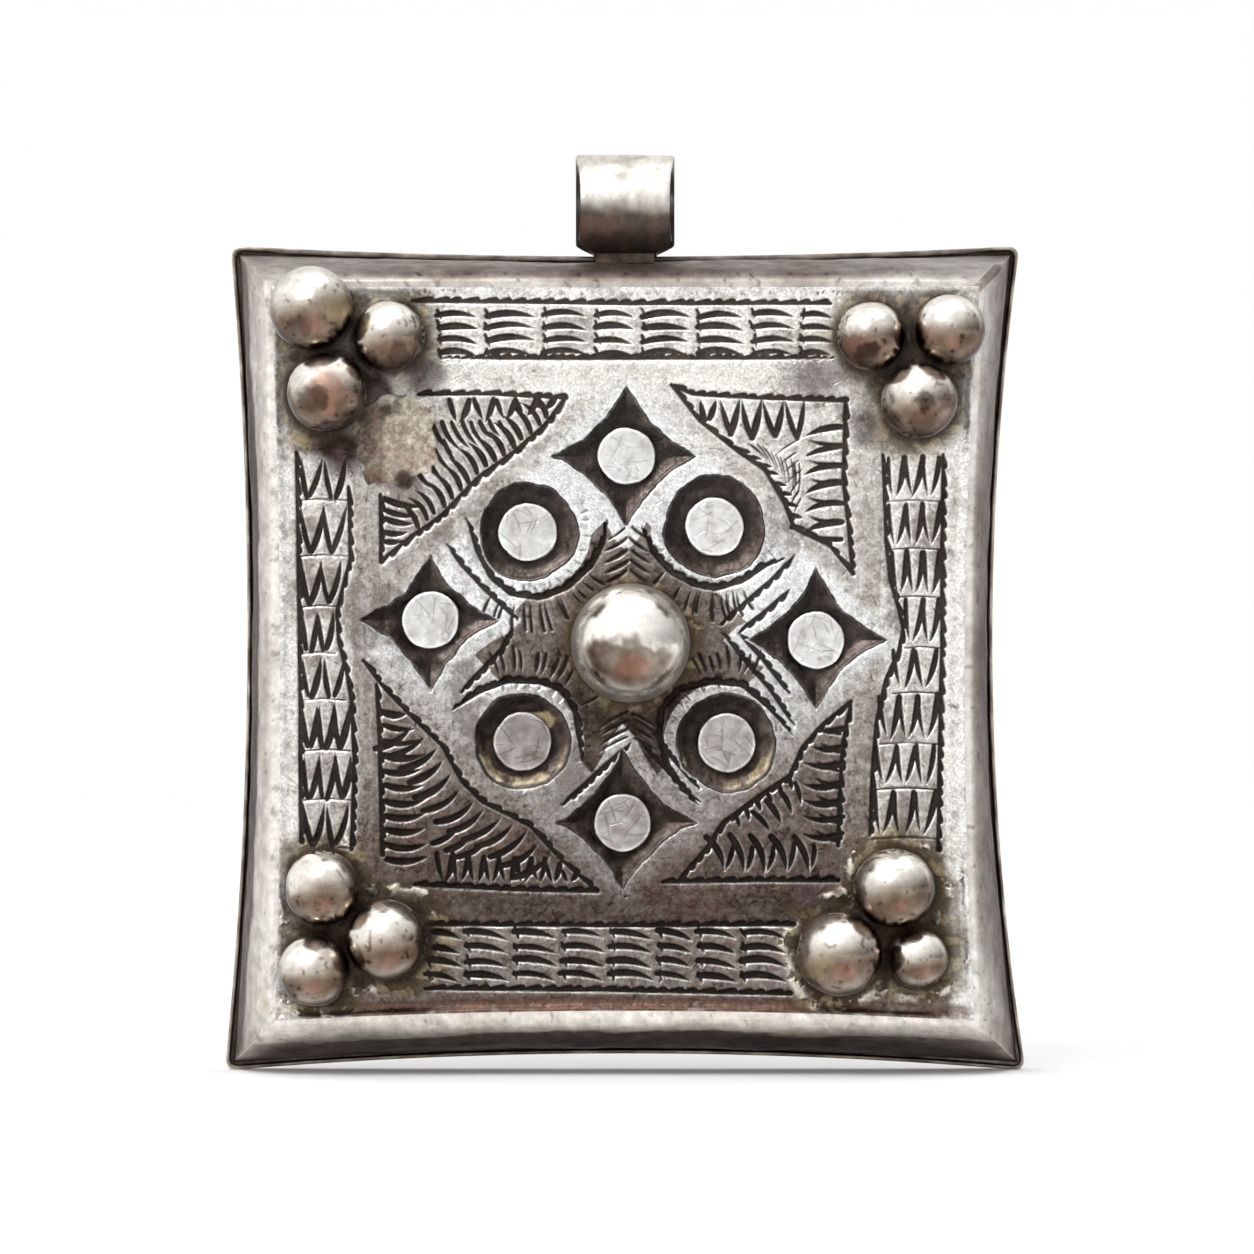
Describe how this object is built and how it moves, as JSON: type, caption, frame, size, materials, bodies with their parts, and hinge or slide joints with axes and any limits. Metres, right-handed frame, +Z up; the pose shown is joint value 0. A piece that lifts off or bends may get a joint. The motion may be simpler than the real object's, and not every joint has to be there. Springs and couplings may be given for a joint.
{
  "type": "amulet box pendant",
  "caption": "Square silver amulet box pendant with a pierced, chased front plate, polished boss and corner balls, a rolled bail on top and a friction-fit back",
  "frame": {"origin": "middle of the bail's bore, from which the pendant hangs", "axes": "+X to the wearer's left as seen from the front (right in the picture), +Y to the back, +Z up; the chased front faces -Y"},
  "size_m": [0.0608, 0.0187, 0.0694],
  "materials": {
    "silver_sheet": "worn, tarnished silver",
    "chased_silver": "worn silver, dark in the cuts",
    "blackened_silver": "blackened silver",
    "bright_silver": "scratched bright silver",
    "polished_silver": "polished silver",
    "solder": "dull solder",
    "paper": "aged paper"
  },
  "bodies": {
    "case": {"side_wall_top": "silver_sheet", "side_wall_right": "silver_sheet", "side_wall_bottom": "silver_sheet", "side_wall_left": "silver_sheet", "plate_ledge_top": "silver_sheet", "plate_ledge_right": "silver_sheet", "plate_ledge_bottom": "silver_sheet", "plate_ledge_left": "silver_sheet", "chased_plate": "chased_silver", "window_backing": "blackened_silver", "diamond_disc_top": "bright_silver", "diamond_disc_right": "bright_silver", "diamond_disc_bottom": "bright_silver", "diamond_disc_left": "bright_silver", "ring_disc_upper_left": "bright_silver", "ring_disc_upper_right": "bright_silver", "ring_disc_lower_right": "bright_silver", "ring_disc_lower_left": "bright_silver", "centre_boss": "polished_silver", "ball_top_left_1": "polished_silver", "ball_top_left_2": "polished_silver", "ball_top_left_3": "polished_silver", "ball_top_right_1": "polished_silver", "ball_top_right_2": "polished_silver", "ball_top_right_3": "polished_silver", "ball_bottom_right_1": "polished_silver", "ball_bottom_right_2": "polished_silver", "ball_bottom_right_3": "polished_silver", "ball_bottom_left_1": "polished_silver", "ball_bottom_left_2": "polished_silver", "ball_bottom_left_3": "polished_silver", "bail_tube": "silver_sheet", "bail_solder": "solder"},
    "back": {"back_pan": "silver_sheet"},
    "paper": {"folded_paper": "paper"}
  },
  "joints": [
    {"name": "back_slide", "type": "slide", "parent": "case", "child": "back", "axis": [0, 1, 0], "range_m": [0, 0.03]},
    {"name": "paper_slide", "type": "slide", "parent": "case", "child": "paper", "axis": [0, 1, 0], "range_m": [0, 0.015]}
  ],
  "couplings": [
    {"joint": "paper_slide", "follows": "back_slide", "ratio": 0.5}
  ]
}
